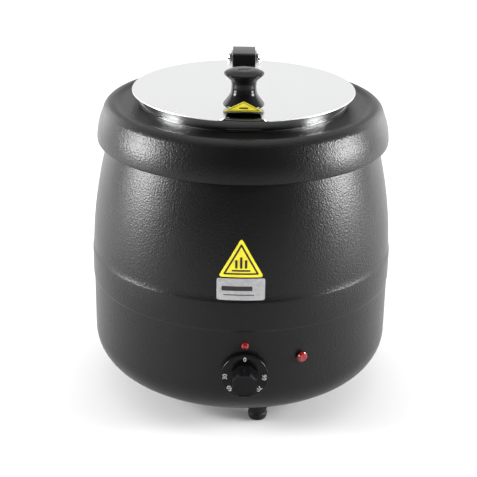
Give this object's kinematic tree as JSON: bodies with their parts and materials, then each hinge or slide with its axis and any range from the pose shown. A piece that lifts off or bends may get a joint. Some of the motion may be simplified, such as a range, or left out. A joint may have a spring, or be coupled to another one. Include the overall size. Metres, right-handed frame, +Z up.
{
  "type": "electric soup kettle",
  "caption": "Round electric soup kettle: painted drum and collar on rubber feet, water bath, lift-out pot, hinged steel lid with a ladle notch, knob, thermostat dial and lamps.",
  "frame": {"origin": "on the kettle's vertical axis, at the level of the surface that its feet stand on", "axes": "+Z up; -Y out of the front, where the thermostat dial is; +X to the right as seen from the front"},
  "size_m": [0.342, 0.393, 0.3894],
  "materials": {
    "drum_paint": "black powder coat with a fine hammered texture, semi-gloss",
    "base_zinc": "zinc-plated steel, dull",
    "foot_rubber": "moulded black rubber, matt",
    "pan_steel": "drawn stainless steel, brushed",
    "lid_steel": "polished stainless steel, mirror bright",
    "bracket_steel": "stainless steel, satin",
    "clamp_aluminium": "mill-finish aluminium sheet",
    "insulation_wool": "pressed glass-fibre blanket",
    "black_bakelite": "black moulded thermoset, glossy",
    "white_nylon": "natural nylon, matt",
    "capillary_brass": "drawn brass and copper, dull",
    "lamp_red": "translucent red lens, glossy",
    "lead_silicone": "silicone-sheathed wire",
    "sign_yellow": "printed vinyl sticker, satin",
    "plate_silver": "printed silver foil, satin"
  },
  "bodies": {
    "kettle": {"outer_shell": "drum_paint", "top_collar": "drum_paint", "base_plate": "base_zinc", "foot_front": "foot_rubber", "foot_screw_front": "base_zinc", "foot_nut_front": "base_zinc", "foot_rear_right": "foot_rubber", "foot_screw_rear_right": "base_zinc", "foot_nut_rear_right": "base_zinc", "foot_rear_left": "foot_rubber", "foot_screw_rear_left": "base_zinc", "foot_nut_rear_left": "base_zinc", "water_pan": "pan_steel", "insulation_jacket": "insulation_wool", "heating_element": "pan_steel", "heater_clamp_plate": "clamp_aluminium", "clamp_nut": "base_zinc", "thermostat_body": "white_nylon", "thermostat_screw_left": "base_zinc", "thermostat_screw_right": "base_zinc", "thermostat_bulb": "capillary_brass", "power_lamp_lens": "lamp_red", "power_lamp_holder": "white_nylon", "heat_lamp_lens": "lamp_red", "heat_lamp_holder": "white_nylon", "cord_gland": "black_bakelite", "gland_nut": "black_bakelite", "terminal_block": "white_nylon", "earth_screw": "capillary_brass", "earth_nut": "capillary_brass", "thermal_cutout": "black_bakelite", "lead_heater_switched": "lead_silicone", "lead_heater_neutral": "lead_silicone", "lead_supply_live": "lead_silicone", "lead_heat_lamp": "lead_silicone", "heat_sign": "sign_yellow", "name_plate": "plate_silver"},
    "pot": {"inner_pot": "pan_steel"},
    "ring": {"lid_ring": "lid_steel", "hinge_bracket": "bracket_steel", "bracket_rivet_left": "bracket_steel", "bracket_rivet_right": "bracket_steel", "hinge_pin": "bracket_steel", "hinge_nut": "bracket_steel"},
    "lid": {"lid_plate": "lid_steel", "lid_knob": "black_bakelite", "knob_washer": "bracket_steel", "knob_screw": "bracket_steel", "knob_sign": "sign_yellow", "hinge_block": "black_bakelite", "hinge_rivet_left": "bracket_steel", "hinge_rivet_right": "bracket_steel"},
    "dial": {"control_dial": "black_bakelite", "dial_spindle": "base_zinc"}
  },
  "joints": [
    {"name": "pot_lift", "type": "slide", "parent": "kettle", "child": "pot", "axis": [0, 0, 1], "range_m": [0, 0.25]},
    {"name": "ring_lift", "type": "slide", "parent": "pot", "child": "ring", "axis": [0, 0, 1], "range_m": [0, 0.06]},
    {"name": "lid_hinge", "type": "hinge", "parent": "ring", "child": "lid", "pos_m": [0, 0.131, 0.3491], "axis": [-1, 0, 0], "range_deg": [0, 100]},
    {"name": "dial_turn", "type": "hinge", "parent": "kettle", "child": "dial", "pos_m": [0.0055, -0.18, 0.082], "axis": [0, 1, 0], "range_deg": [0, 270]}
  ]
}
